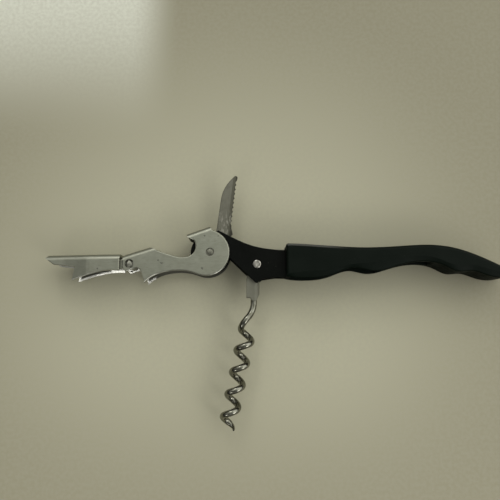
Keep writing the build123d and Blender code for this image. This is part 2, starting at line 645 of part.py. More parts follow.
# Knife: thin blade with an eye, a bevelled and serrated edge, a curved back and a round tip
edge_line = Vector(*EDGE_END) - Vector(*EDGE_START)
edge_way = edge_line.normalized()
edge_inward = Vector(edge_way.Y, -edge_way.X)
serrations = int((edge_line.length - 2 * SERRATION_MARGIN) / SERRATION_PITCH)

with BuildPart() as knife:
    with BuildSketch(side):
        with BuildLine():
            Spline(KNIFE_ROOT, *KNIFE_BACK, KNIFE_BACK_END)
            ThreePointArc(KNIFE_BACK_END, KNIFE_TIP, KNIFE_TIP_END)
            Polyline(KNIFE_TIP_END, EDGE_START, EDGE_END, KNIFE_CHOIL, KNIFE_HEEL, KNIFE_ROOT)
        make_face()
        with Locations(lever_pivot):
            Circle(KNIFE_EYE_RADIUS)
            Circle(LEVER_RIVET_SHAFT / 2 + BORE_CLEARANCE, mode=Mode.SUBTRACT)
        for count in range(serrations + 1):
            spot = Vector(*EDGE_START) + edge_way * (SERRATION_MARGIN + count * SERRATION_PITCH)
            with Locations(spot - edge_inward * (SERRATION_RADIUS - SERRATION_DEPTH)):
                Circle(SERRATION_RADIUS, mode=Mode.SUBTRACT)
    extrude(amount=KNIFE_THICKNESS / 2, both=True)
    edge_plane = Plane(origin=side.from_local_coords(EDGE_START), x_dir=edge_inward, z_dir=edge_way)
    with BuildSketch(edge_plane):
        with BuildLine():
            blade_face = KNIFE_THICKNESS / 2
            Polyline((0, blade_face), (0, blade_face - BEVEL_DEPTH), (BEVEL_WIDTH, blade_face), close=True)
        make_face()
    extrude(amount=edge_line.length, mode=Mode.SUBTRACT)
export(knife, "knife")
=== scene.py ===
import json
import math

import bpy
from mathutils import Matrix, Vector

# Looks of the lever corkscrew: edges, finishes, floor, light and camera. Lengths are in metres.

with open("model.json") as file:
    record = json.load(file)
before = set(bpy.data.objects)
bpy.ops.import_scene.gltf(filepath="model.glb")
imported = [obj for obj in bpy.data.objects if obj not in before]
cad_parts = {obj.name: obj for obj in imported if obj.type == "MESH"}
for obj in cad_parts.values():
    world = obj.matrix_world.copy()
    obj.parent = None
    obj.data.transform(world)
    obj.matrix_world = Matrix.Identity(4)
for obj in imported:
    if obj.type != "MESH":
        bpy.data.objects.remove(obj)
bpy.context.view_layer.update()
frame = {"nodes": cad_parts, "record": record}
nodes = frame["nodes"]

MM = 0.001

# Hinges and their rivets: crowns as widths, the groove as shares of its crown, the holes as a radius
HINGES = {joint["name"]: Vector(joint["pos_m"]) for joint in frame["record"]["behaviour"]["joints"]}
LEVER_PIVOT = HINGES["lever_swing"]
STEP_PIVOT = HINGES["step_swing"]
LEVER_RIVET_CROWN = 2.05 * MM
STEP_RIVET_CROWN = 1.9 * MM
RIVET_HOLE = 1.85 * MM
RIVET_GROOVE = (0.46, 0.52)
FLUSH_DENTS = 0.03 * MM
WORM_RIVET_DENTS = 0.12 * MM

# Marks on the lever, from its pivot: scuffs as x, y and radius in millimetres, and where the others fade: a
# patch of painted shade, the painted highlight on the rims, kept off the hook's mouth, and the painted
# highlight on the lips of the teeth, dimmer at the seat
SCUFFS = [(-2.1, 6.1, 0.45), (3.0, 6.1, 0.35), (-2.9, -6.2, 0.5), (-5.3, 2.4, 0.4), (-19.4, -3.1, 0.4),
          (-18.1, -4.3, 0.55), (-42.0, -6.2, 0.4)]
SHADE_PATCH_ENDS = [(-45.8 * MM, -46.6 * MM), (-56.0 * MM, -53.5 * MM)]
SHADE_PATCH_SHARE = 0.62
HOOK_MOUTH_Y = (2.5 * MM, 4.0 * MM)
LIP_HIGHLIGHT_TEETH_X = (-22.0 * MM, -21.0 * MM)
SEAT_HIGHLIGHT_X = (-54.0 * MM, -52.0 * MM)
SEAT_HIGHLIGHT_SHARE = 0.7

# Which way the lever's sheet faces, as a part of its normal: where each share starts and ends
INNER_SIDE = (-0.7, -0.3)
OUTER_SIDE = (0.9, 0.99)
TURNED_FROM_SIDE = (0.88, 0.985)
TURNED_FROM_EDGE = (0.05, 0.3)
RIM_FACING_Y = (0.0, 0.2)
HEAD_RIM_FACING_X = (0.05, 0.35)
# The bends that face back are darkened as painted shade, by a share
BEND_FACING_X = (0.1, 0.3)
BEND_FACING_Y = (0.2, 0.5)
BEND_SHADE_SHARE = 0.5

# Bright edges of the lever: the lips inside its teeth and the rim of its head carry a painted highlight and
# are shaded as if rolled over
LIP_WIDTH = 2.0 * MM
LIP_LEAN = (0.0, -0.55, 0.0)
RIM_LEAN = (-0.2, 0.9, 0.0)

# Marks on the knife, from the lever pivot
KNIFE_EDGE_START = (9.95 * MM, 29.3 * MM)
KNIFE_EDGE_END = (7.75 * MM, 10.2 * MM)
KNIFE_BEVEL_WIDTH = 1.5 * MM
KNIFE_SMEARS_Y = (13.0 * MM, 18.0 * MM)

# The handle: a painted highlight on its back edge, its finger side with less shine, and how far its
# roughness varies
BACK_HIGHLIGHT_X = (16.0 * MM, 28.0 * MM)
BACK_HIGHLIGHT_FACING = (0.15, 0.5)
FINGER_SIDE_FACING = (-0.6, -0.2)
FINGER_SIDE_SHARE = 0.1
SMOOTHER_BY = 0.05
ROUGHER_BY = 0.07
EDGES_SMOOTHER_BY = 0.12

# How far edges are lightened as wear and as a painted highlight, how far the blade's rims are darkened as
# painted shade, and how far painted shade reaches out of a crevice
NICKEL_EDGE_WIDTH = 0.35 * MM
BLADE_EDGE_WIDTH = 0.8 * MM
COAT_EDGE_WIDTH = 0.4 * MM
NICKEL_SHADE_REACH = 2.0 * MM
CARRIER_SHADE_REACH = 0.8 * MM

# Colours of the finishes, some with painted shade and painted highlights laid on them
# The nickel's lighter rims and lips are painted highlights, its lighter edges are wear and a painted
# highlight, and its darker patch, bends, inside and crevices are painted shade
NICKEL = {
    "dark": (0.330, 0.342, 0.282), "light": (0.406, 0.418, 0.353), "broad": (0.36, 0.358, 0.29),
    "streak": (0.235, 0.238, 0.195), "edge": (0.58, 0.585, 0.53), "worn": (0.13, 0.13, 0.115),
    "shade_patch": (0.165, 0.168, 0.135), "rim": (0.66, 0.665, 0.61), "bend": (0.205, 0.21, 0.175),
    "inside_shade": (0.085, 0.083, 0.066), "lip": (0.66, 0.66, 0.61), "crevice_shade": (0.07, 0.067, 0.053),
}
# The carrier's darker crevices are painted shade
CARRIER = {
    "dark": (0.143, 0.143, 0.111), "light": (0.184, 0.184, 0.147), "pit": (0.105, 0.10, 0.083),
    "crevice_shade": (0.083, 0.079, 0.064),
}
CARRIER_METALLIC = 0.35
WIRE = {
    "dark": (0.12, 0.117, 0.090), "middle": (0.21, 0.208, 0.172), "light": (0.33, 0.325, 0.285),
    "pit": (0.05, 0.047, 0.035),
}
# The blade's dark rims are painted shade
BLADE = {
    "dark": (0.165, 0.162, 0.130), "light": (0.235, 0.230, 0.192), "brushed": (0.29, 0.285, 0.245),
    "band": (0.125, 0.122, 0.094), "smear": (0.42, 0.41, 0.36), "rim": (0.045, 0.044, 0.034),
    "pit": (0.06, 0.055, 0.04),
}
# The light back edges of the moulding and the paint are painted highlights
MOULDING = {"deep": (0.0024, 0.0052, 0.0032), "worn": (0.004, 0.007, 0.0048), "back": (0.09, 0.092, 0.083)}
PAINT = {"deep": (0.001, 0.0016, 0.001), "worn": (0.0022, 0.003, 0.0022), "back": (0.03, 0.032, 0.028)}
# The lighter coat edges are wear and a painted highlight
COAT_WEAR = {"edge": (0.045, 0.048, 0.043), "dust": (0.10, 0.10, 0.09), "scratch": (0.03, 0.032, 0.03)}
# The rivets' darker grooves are painted shade
LEVER_RIVET = {"dark": (0.22, 0.22, 0.18), "light": (0.29, 0.29, 0.245), "crevice_shade": (0.17, 0.17, 0.14)}
STEP_RIVET = {"dark": (0.34, 0.34, 0.29), "light": (0.46, 0.46, 0.40), "crevice_shade": (0.055, 0.053, 0.042)}
WORM_RIVET = {"dark": (0.17, 0.162, 0.14), "light": (0.66, 0.645, 0.60)}
WASHER = {"dark": (0.40, 0.40, 0.37), "light": (0.50, 0.50, 0.47)}
SPRING = {"dark": (0.28, 0.28, 0.27), "light": (0.38, 0.38, 0.36)}

# Rounding of sharp edges: angles in degrees, and the widths for each piece in millimetres
EDGE_ANGLE = 35.0
EDGE_SEGMENTS = 3
EDGE_WIDTHS = {
    "grip": 0.35, "frame": 0.22, "lever_arm": 0.42, "step_arm": 0.3, "worm_carrier": 0.14, "knife": 0.06,
    "lever_rivet": 0.08, "step_rivet": 0.08, "worm_rivet": 0.14,
}
FOLDED_SHEET = ("lever_arm", "step_arm", "frame")
OUTER_FACING = 0.99
BESIDE_OUTER_FACE = 0.4
FLAT_ANGLE = 0.4
JOIN_DISTANCE = 0.06 * MM
CLEAN_DISTANCE = 0.004 * MM

# Camera: over the tool, leaning a little towards the knife
CAMERA_PLACE = (-10.5 * MM, -10.32 * MM, 213.56 * MM)
CAMERA_LEAN = 8.0
CAMERA_LENS = 38.95
CAMERA_SENSOR = 36.0
CAMERA_NEAR = 0.01

# Floor: a pale worktop, with painted shade around its middle, on its right and in front, and a painted pool
# of light in its far left corner
FLOOR_SIZE = 4.0
FLOOR_COLOUR = (0.495, 0.482, 0.362)
FLOOR_SHADE = (0.335, 0.316, 0.228)
FLOOR_LIGHT_POOL = (0.81, 0.825, 0.725)
FLOOR_SPECKLE = (0.43, 0.41, 0.33)
FLOOR_MIDDLE = (-0.015, 0.0, 0.0)
FLOOR_MIDDLE_FADE = (0.04, 0.135)
FLOOR_LIGHT_POOL_FADES = [("X", -0.040, -0.062), ("X", -0.25, -0.16), ("Y", 0.062, 0.135), ("Y", 0.26, 0.18)]
FLOOR_RIGHT_SHADE_FADE = (0.02, 0.12)
FLOOR_RIGHT_SHADE_SHARE = 0.7
FLOOR_FRONT_SHADE_FADE = (-0.085, -0.015)
FLOOR_FRONT_SHADE_SHARE = 0.75
FLOOR_ROUGHNESS = 0.6
FLOOR_SHINE = 0.2

# Sky: a soft bright ring around a duller zenith, dark at the horizon, dim in front and on the left, and
# duller in a part behind. The stops are heights, as the sine of the angle above the horizon.
SKY_HORIZON = (0.08, 0.08, 0.073)
SKY_RING = (1.75, 1.74, 1.625)
SKY_ZENITH = (0.555, 0.56, 0.507)
SKY_STOPS = [(0.10, SKY_HORIZON), (0.45, SKY_RING), (0.76, SKY_RING), (0.93, SKY_ZENITH)]
SKY_BRIGHT_SIDE = (0.35, 0.94, 0.0)
SKY_FRONT_FADE = (-0.35, 0.25)
SKY_FRONT_SHARE = 0.22
SKY_LEFT_FADE = (-0.62, -0.38)
SKY_LEFT_SHARE = 0.35
SKY_DULL_PART = (-0.2, 0.98, 0.0)
SKY_DULL_FADE = (0.52, 0.74)
SKY_DULL_SHARE = 0.6

# Lamps: small ones, for highlights
GLINT_COLOUR = (1.0, 0.99, 0.96)
LAMPS = {
    "key": {"place": (-0.20, 0.80, 0.60), "size": 0.28, "power": 0.8, "colour": (1.0, 0.985, 0.95)},
    "fill": {"place": (0.60, -0.45, 0.50), "size": 0.45, "power": 1.0, "colour": (1.0, 0.98, 0.94)},
    "left_glint": {"place": (-0.155, -0.215, 0.18), "size": 0.09, "power": 0.07, "colour": GLINT_COLOUR},
    "right_glint": {"place": (0.16, -0.16, 0.17), "size": 0.09, "power": 0.05, "colour": GLINT_COLOUR},
}


def link(tree, source, target):
    """Join an output to an input."""
    tree.links.new(source, target)


def add(tree, kind, **values):
    """A node with some of its properties set."""
    node = tree.nodes.new(kind)
    for key, value in values.items():
        setattr(node, key, value)
    return node


def feed(tree, socket, value):
    """Set an input to a number or a colour, or join an output to it."""
    if isinstance(value, bpy.types.NodeSocket):
        link(tree, value, socket)
    elif isinstance(value, tuple) and len(value) == 3 and socket.type == "RGBA":
        socket.default_value = (*value, 1.0)
    else:
        socket.default_value = value


def new_material(name):
    """An empty material with its shader and the place on the object in metres."""
    material = bpy.data.materials.new(name)
    material.use_nodes = True
    tree = material.node_tree
    shader = tree.nodes["Principled BSDF"]
    place = add(tree, "ShaderNodeTexCoord").outputs["Object"]
    return material, tree, shader, place


def stretched(tree, place, scale, turn=0.0):
    """The place on the object, scaled along each axis and then turned in degrees about Z."""
    mapping = add(tree, "ShaderNodeMapping")
    mapping.inputs["Scale"].default_value = scale
    mapping.inputs["Rotation"].default_value = (0, 0, math.radians(turn))
    link(tree, place, mapping.inputs["Vector"])
    return mapping.outputs["Vector"]


def noise(tree, place, scale, detail=3.0, roughness=0.5):
    """Soft noise with a given number of grains in a metre."""
    node = add(tree, "ShaderNodeTexNoise")
    node.inputs["Scale"].default_value = scale
    node.inputs["Detail"].default_value = detail
    node.inputs["Roughness"].default_value = roughness
    link(tree, place, node.inputs["Vector"])
    return node.outputs["Fac"]


def span(tree, value, low, high, start=0.3, end=0.7):
    """A value from start to end turned smoothly into one from low to high."""
    node = add(tree, "ShaderNodeMapRange", interpolation_type="SMOOTHSTEP")
    node.inputs["From Min"].default_value = start
    node.inputs["From Max"].default_value = end
    node.inputs["To Min"].default_value = low
    node.inputs["To Max"].default_value = high
    link(tree, value, node.inputs["Value"])
    return node.outputs["Result"]


def ramp(tree, value, stops):
    """A colour ramp through (place, colour) stops."""
    node = add(tree, "ShaderNodeValToRGB")
    elements = node.color_ramp.elements
    while len(elements) < len(stops):
        elements.new(0.5)
    for element, (where, colour) in zip(elements, stops):
        element.position = where
        element.color = (*colour, 1.0)
    link(tree, value, node.inputs["Fac"])
    return node.outputs["Color"]


def mix(tree, factor, first, second):
    """Two colours mixed by a factor."""
    node = add(tree, "ShaderNodeMix", data_type="RGBA")
    for socket, value in zip((node.inputs[0], node.inputs[6], node.inputs[7]), (factor, first, second)):
        feed(tree, socket, value)
    return node.outputs[2]


def blend(tree, factor, first, second):
    """Two numbers mixed by a factor."""
    node = add(tree, "ShaderNodeMix", data_type="FLOAT")
    for socket, value in zip((node.inputs[0], node.inputs[2], node.inputs[3]), (factor, first, second)):
        feed(tree, socket, value)
    return node.outputs[0]


def layered(tree, mixer, base, layers):
    """A colour or number with others laid over it in turn, as (share, value) layers."""
    for share, value in layers:
        base = mixer(tree, share, base, value)
    return base


def maths(tree, operation, first, second=0.0):
    """A sum, product or like of two numbers."""
    node = add(tree, "ShaderNodeMath", operation=operation)
    feed(tree, node.inputs[0], first)
    feed(tree, node.inputs[1], second)
    return node.outputs[0]


def product(tree, first, *others):
    """Several numbers multiplied with each other."""
    for other in others:
        first = maths(tree, "MULTIPLY", first, other)
    return first


def inverse(tree, share):
    """What is left of 1 beside a share."""
    return maths(tree, "SUBTRACT", 1.0, share)


def dot(tree, first, second):
    """The scalar product of two vectors."""
    node = add(tree, "ShaderNodeVectorMath", operation="DOT_PRODUCT")
    feed(tree, node.inputs[0], first)
    feed(tree, node.inputs[1], second)
    return node.outputs["Value"]


def distance(tree, place, centre):
    """How far a place is from a centre."""
    node = add(tree, "ShaderNodeVectorMath", operation="DISTANCE")
    link(tree, place, node.inputs[0])
    node.inputs[1].default_value = centre
    return node.outputs["Value"]


def axis_value(tree, vector, axis):
    """One coordinate of a vector."""
    node = add(tree, "ShaderNodeSeparateXYZ")
    link(tree, vector, node.inputs["Vector"])
    return node.outputs[axis]


def from_pivot(tree, place, axis):
    """One coordinate of a place, measured from the lever pivot."""
    return maths(tree, "SUBTRACT", axis_value(tree, place, axis), LEVER_PIVOT["XYZ".index(axis)])


def bump(tree, height, depth, below=None):
    """A bump of a given depth in metres, over another one."""
    node = add(tree, "ShaderNodeBump")
    node.inputs["Distance"].default_value = depth
    link(tree, height, node.inputs["Height"])
    if below is not None:
        link(tree, below, node.inputs["Normal"])
    return node.outputs["Normal"]


def leaned(tree, normal, share, way):
    """A normal leaned over by a share of a vector, as on a rolled edge."""
    node = add(tree, "ShaderNodeVectorMath", operation="MULTIPLY_ADD")
    link(tree, share, node.inputs[0])
    node.inputs[1].default_value = way
    link(tree, normal, node.inputs[2])
    return node.outputs[0]


def edge_share(tree, radius):
    """How near a surface is to a sharp edge: 0 on a flat, rising to 1 on the edge."""
    soft = add(tree, "ShaderNodeBevel", samples=6)
    soft.inputs["Radius"].default_value = radius
    sharp = add(tree, "ShaderNodeNewGeometry").outputs["True Normal"]
    return span(tree, dot(tree, soft.outputs["Normal"], sharp), 1.0, 0.0, 0.80, 0.995)


def crevice_share(tree, reach):
    """How shut in a surface is: 0 in the open, 1 deep in a crevice."""
    node = add(tree, "ShaderNodeAmbientOcclusion", samples=8)
    node.inputs["Distance"].default_value = reach
    return span(tree, node.outputs["AO"], 1.0, 0.0, 0.25, 0.85)


def spots(tree, place, centres):
    """Small worn spots, given from the lever pivot as x, y and radius in millimetres."""
    flat = stretched(tree, place, (1, 1, 0))
    ragged = noise(tree, place, 2600.0, 2.0)
    total = None
    for x, y, radius in centres:
        away = distance(tree, flat, (LEVER_PIVOT.x + x * MM, LEVER_PIVOT.y + y * MM, 0))
        uneven = product(tree, away, span(tree, ragged, 0.6, 1.5))
        spot = span(tree, uneven, 1.0, 0.0, 0.4 * radius * MM, radius * MM)
        total = spot if total is None else maths(tree, "MAXIMUM", total, spot)
    return total


def pits(tree, place, cells, share):
    """Fine pits, scattered in patches over a surface."""
    node = add(tree, "ShaderNodeTexVoronoi")
    node.inputs["Scale"].default_value = cells
    link(tree, place, node.inputs["Vector"])
    dots = span(tree, node.outputs["Distance"], 1.0, 0.0, 0.05, 0.14)
    patches = span(tree, noise(tree, place, cells / 5, 2.0), 0.0, share, 0.5, 0.62)
    return product(tree, dots, patches)


def finish_metal(shader, tree, colour, rough, normal):
    """Join the outputs of a metal to its shader."""
    shader.inputs["Metallic"].default_value = 1.0
    link(tree, colour, shader.inputs["Base Color"])
    link(tree, rough, shader.inputs["Roughness"])
    link(tree, normal, shader.inputs["Normal"])


def lever_shares(tree, place):
    """Shares of the lever's sheet: its inside, a patch of painted shade, rims, the head's rim, bends that
    get painted shade and lips that get a painted highlight.
    """
    normal = add(tree, "ShaderNodeTexCoord").outputs["Normal"]
    normal_x = axis_value(tree, normal, "X")
    normal_y = axis_value(tree, normal, "Y")
    along = from_pivot(tree, place, "X")
    above = from_pivot(tree, place, "Y")
    across = from_pivot(tree, place, "Z")

    # 1 on an outer flat side of the sheet, 0 on its edges and webs, -1 on an inner side
    outwards = product(tree, axis_value(tree, normal, "Z"), maths(tree, "SIGN", across))
    inside = span(tree, outwards, 1.0, 0.0, *INNER_SIDE)
    outer_flat = span(tree, outwards, 0.0, 1.0, *OUTER_SIDE)
    turned = span(tree, outwards, 1.0, 0.0, *TURNED_FROM_SIDE)
    turned = product(tree, turned, span(tree, outwards, 0.0, 1.0, *TURNED_FROM_EDGE))

    # A patch of painted shade on the outer side near the end of the step
    shade_patch_ends = [span(tree, along, 0.0, SHADE_PATCH_SHARE, outer, inner) for outer, inner in SHADE_PATCH_ENDS]
    # Rims that do not face back carry a painted highlight, kept off the hook's mouth
    rims = product(tree, turned, span(tree, normal_y, 1.0, 0.0, *RIM_FACING_Y))
    rims = product(tree, rims, span(tree, above, 1.0, 0.0, *HOOK_MOUTH_Y))
    # Bends that face back carry painted shade
    bends = product(tree, turned, span(tree, normal_y, 0.0, BEND_SHADE_SHARE, *BEND_FACING_Y))
    # The lips inside the teeth carry a painted highlight, dimmer at the seat
    teeth = span(tree, along, 1.0, 0.0, *LIP_HIGHLIGHT_TEETH_X)
    teeth = product(tree, teeth, span(tree, along, SEAT_HIGHLIGHT_SHARE, 1.0, *SEAT_HIGHLIGHT_X))
    return {
        "inside": inside,
        "shade_patch": product(tree, *shade_patch_ends, outer_flat),
        "rims": rims,
        "head_rim": product(tree, rims, span(tree, normal_x, 0.0, 1.0, *HEAD_RIM_FACING_X)),
        "bends": product(tree, bends, span(tree, normal_x, 1.0, 0.0, *BEND_FACING_X)),
        "lips": product(tree, edge_share(tree, LIP_WIDTH), teeth, inside),
    }


def satin_nickel():
    """Plated sheet: satin grain, streaks, worn spots, polished edges lightened also as a painted highlight,
    painted highlights on its rims and lips, and painted shade on a patch, its bends, its inside and in its
    crevices.
    """
    material, tree, shader, place = new_material("satin_nickel")
    shares = lever_shares(tree, place)
    inside = shares["inside"]
    rims = shares["rims"]
    lips = shares["lips"]
    edges = edge_share(tree, NICKEL_EDGE_WIDTH)
    worn = maths(tree, "MAXIMUM", spots(tree, place, SCUFFS), pits(tree, place, 420.0, 0.3))
    grain = noise(tree, place, 9000.0, 3.0, 0.6)
    cloud = noise(tree, place, 330.0, 5.0, 0.6)
    broad = noise(tree, place, 70.0, 2.0)
    streaks = noise(tree, stretched(tree, place, (500, 2600, 1500), -12.0), 1.0, 4.0, 0.65)
    # Painted shade in the crevices, kept off the lips
    crevice_shade = product(tree, crevice_share(tree, NICKEL_SHADE_REACH), inverse(tree, lips))

    colour = ramp(tree, cloud, [(0.30, NICKEL["dark"]), (0.70, NICKEL["light"])])
    colour = layered(tree, mix, colour, [
        (span(tree, broad, 0.0, 0.35), NICKEL["broad"]),
        (span(tree, streaks, 0.0, 0.45, 0.45, 0.75), NICKEL["streak"]),
        # Edges lightened as wear and as a painted highlight
        (product(tree, edges, 0.5), NICKEL["edge"]),
        (product(tree, worn, 0.8), NICKEL["worn"]),
        # Painted shade on a patch, a painted highlight on the rims and painted shade on the bends
        (shares["shade_patch"], NICKEL["shade_patch"]),
        (rims, NICKEL["rim"]),
        (shares["bends"], NICKEL["bend"]),
        # The inside is darkened as painted shade, with a painted highlight on its lips
        (inside, mix(tree, lips, NICKEL["inside_shade"], NICKEL["lip"])),
        (product(tree, crevice_shade, 0.8), NICKEL["crevice_shade"]),
    ])
    rough = span(tree, noise(tree, place, 1500.0, 4.0, 0.6), 0.36, 0.44)
    polish = [(inside, 0.48), (edges, 0.30), (rims, 0.2), (worn, 0.6), (lips, 0.3)]
    rough = layered(tree, blend, rough, polish)
    normal = add(tree, "ShaderNodeNewGeometry").outputs["Normal"]
    relief = leaned(tree, normal, lips, LIP_LEAN)
    relief = leaned(tree, relief, shares["head_rim"], RIM_LEAN)
    relief = bump(tree, grain, 0.0009 * MM, relief)
    relief = bump(tree, cloud, 0.007 * MM, relief)
    relief = bump(tree, inverse(tree, worn), 0.03 * MM, relief)
    finish_metal(shader, tree, colour, rough, relief)
    inside_beyond_lips = maths(tree, "SUBTRACT", inside, lips)
    link(tree, span(tree, inside_beyond_lips, 1.0, 0.25, 0.0, 1.0), shader.inputs["Metallic"])
    return material


def carrier_plate():
    """Plated sheet of the carrier: duller than the lever, rubbed along its length, with painted shade in
    its crevices.
    """
    material, tree, shader, place = new_material("carrier_plate")
    cloud = noise(tree, place, 300.0, 4.0, 0.6)
    rubbed = noise(tree, stretched(tree, place, (7000, 420, 7000)), 1.0, 3.0)
    colour = ramp(tree, cloud, [(0.30, CARRIER["dark"]), (0.70, CARRIER["light"])])
    colour = layered(tree, mix, colour, [
        (pits(tree, place, 1100.0, 0.7), CARRIER["pit"]),
        # Painted shade in the crevices
        (product(tree, crevice_share(tree, CARRIER_SHADE_REACH), 0.7), CARRIER["crevice_shade"]),
    ])
    rough = span(tree, noise(tree, place, 1300.0, 4.0), 0.50, 0.62)
    relief = bump(tree, rubbed, 0.003 * MM)
    relief = bump(tree, cloud, 0.01 * MM, relief)
    finish_metal(shader, tree, colour, rough, relief)
    shader.inputs["Metallic"].default_value = CARRIER_METALLIC
    return material


def worm_chrome():
    """Polished wire, darkened with use: drawing lines, pits and brownish tarnish in patches."""
    material, tree, shader, place = new_material("worm_chrome")
    cloud = noise(tree, place, 420.0, 5.0, 0.65)
    lines = noise(tree, stretched(tree, place, (5200, 1400, 5200)), 1.0, 3.0)
    colour = ramp(tree, cloud, [(0.34, WIRE["dark"]), (0.50, WIRE["middle"]), (0.75, WIRE["light"])])
    colour = mix(tree, pits(tree, place, 1500.0, 0.8), colour, WIRE["pit"])
    rough = span(tree, noise(tree, place, 1100.0, 4.0, 0.6), 0.10, 0.22)
    relief = bump(tree, lines, 0.0025 * MM)
    relief = bump(tree, cloud, 0.02 * MM, relief)
    finish_metal(shader, tree, colour, rough, relief)
    return material


def ground_blade():
    """Thin steel blade: brushed along its length, with a darker ground band, and its rims and teeth
    darkened as painted shade.
    """
    material, tree, shader, place = new_material("ground_blade")
    edge_way = (Vector(KNIFE_EDGE_END) - Vector(KNIFE_EDGE_START)).normalized()
    inward = Vector((edge_way.y, -edge_way.x, 0))
    edge_at = inward.dot(LEVER_PIVOT + Vector((*KNIFE_EDGE_START, 0)))
    lean = math.degrees(math.atan2(edge_way.x, -edge_way.y))
    depth = maths(tree, "SUBTRACT", dot(tree, place, tuple(inward)), edge_at)
    band = span(tree, depth, 1.0, 0.0, 0.96 * KNIFE_BEVEL_WIDTH, 1.06 * KNIFE_BEVEL_WIDTH)
    teeth = span(tree, depth, 1.0, 0.0, 0.15 * KNIFE_BEVEL_WIDTH, 0.5 * KNIFE_BEVEL_WIDTH)
    # The teeth and rims are darkened as painted shade
    rims = maths(tree, "MAXIMUM", teeth, edge_share(tree, BLADE_EDGE_WIDTH))
    along = noise(tree, stretched(tree, place, (9000, 260, 9000), lean), 1.0, 4.0, 0.6)
    across = noise(tree, stretched(tree, place, (500, 8000, 8000), lean), 1.0, 3.0)
    cloud = noise(tree, place, 210.0, 4.0, 0.6)
    smears = noise(tree, stretched(tree, place, (1500, 420, 1500), lean), 1.0, 3.0, 0.6)
    low = span(tree, from_pivot(tree, place, "Y"), 1.0, 0.0, *KNIFE_SMEARS_Y)

    colour = ramp(tree, cloud, [(0.30, BLADE["dark"]), (0.72, BLADE["light"])])
    colour = layered(tree, mix, colour, [
        (span(tree, along, 0.0, 0.5, 0.4, 0.75), BLADE["brushed"]),
        (product(tree, band, 0.8), BLADE["band"]),
        (product(tree, span(tree, smears, 0.0, 0.8, 0.50, 0.66), low), BLADE["smear"]),
        (product(tree, rims, 0.75), BLADE["rim"]),
        (pits(tree, place, 1000.0, 0.8), BLADE["pit"]),
    ])
    rough = span(tree, noise(tree, place, 900.0, 4.0), 0.30, 0.42)
    rough = blend(tree, band, rough, 0.36)
    relief = bump(tree, blend(tree, band, along, across), 0.004 * MM)
    finish_metal(shader, tree, colour, rough, relief)
    return material


def hammered_rivet(name, colours, dents):
    """Rivet metal, closed with a hammer: shallow dents and a mottled face."""
    material, tree, shader, place = new_material(name)
    cloud = noise(tree, place, 900.0, 4.0, 0.6)
    colour = ramp(tree, cloud, [(0.32, colours["dark"]), (0.68, colours["light"])])
    rough = span(tree, noise(tree, place, 2600.0, 3.0), 0.28, 0.42)
    relief = bump(tree, noise(tree, place, 1300.0, 2.0), dents)
    finish_metal(shader, tree, colour, rough, relief)
    return material


def flush_rivet(name, colours, centre, crown):
    """Rivet spread into its hole: a grey crown of a given width, and painted shade in the groove around it.
    """
    material = hammered_rivet(name, colours, FLUSH_DENTS)
    tree = material.node_tree
    base = tree.nodes["Principled BSDF"].inputs["Base Color"]
    face = base.links[0].from_socket
    place = add(tree, "ShaderNodeTexCoord").outputs["Object"]
    away = distance(tree, stretched(tree, place, (1, 1, 0)), (centre.x, centre.y, 0))
    groove_start, groove_end = [share * crown for share in RIVET_GROOVE]
    # The groove is darkened as painted shade, in patches
    groove = span(tree, away, 0.0, 1.0, groove_start, groove_end)
    patches = span(tree, noise(tree, place, 650.0, 2.0), 0.25, 1.0, 0.42, 0.58)
    link(tree, mix(tree, product(tree, groove, patches), face, colours["crevice_shade"]), base)
    return material


def plain_steel(name, colours, rub):
    """Washers, spacers and the spring: bare steel with rolling marks."""
    material, tree, shader, place = new_material(name)
    lines = noise(tree, stretched(tree, place, rub), 1.0, 3.0)
    cloud = noise(tree, place, 500.0, 4.0)
    colour = ramp(tree, cloud, [(0.32, colours["dark"]), (0.68, colours["light"])])
    rough = span(tree, noise(tree, place, 1500.0, 3.0), 0.30, 0.46)
    finish_metal(shader, tree, colour, rough, bump(tree, lines, 0.004 * MM))
    return material


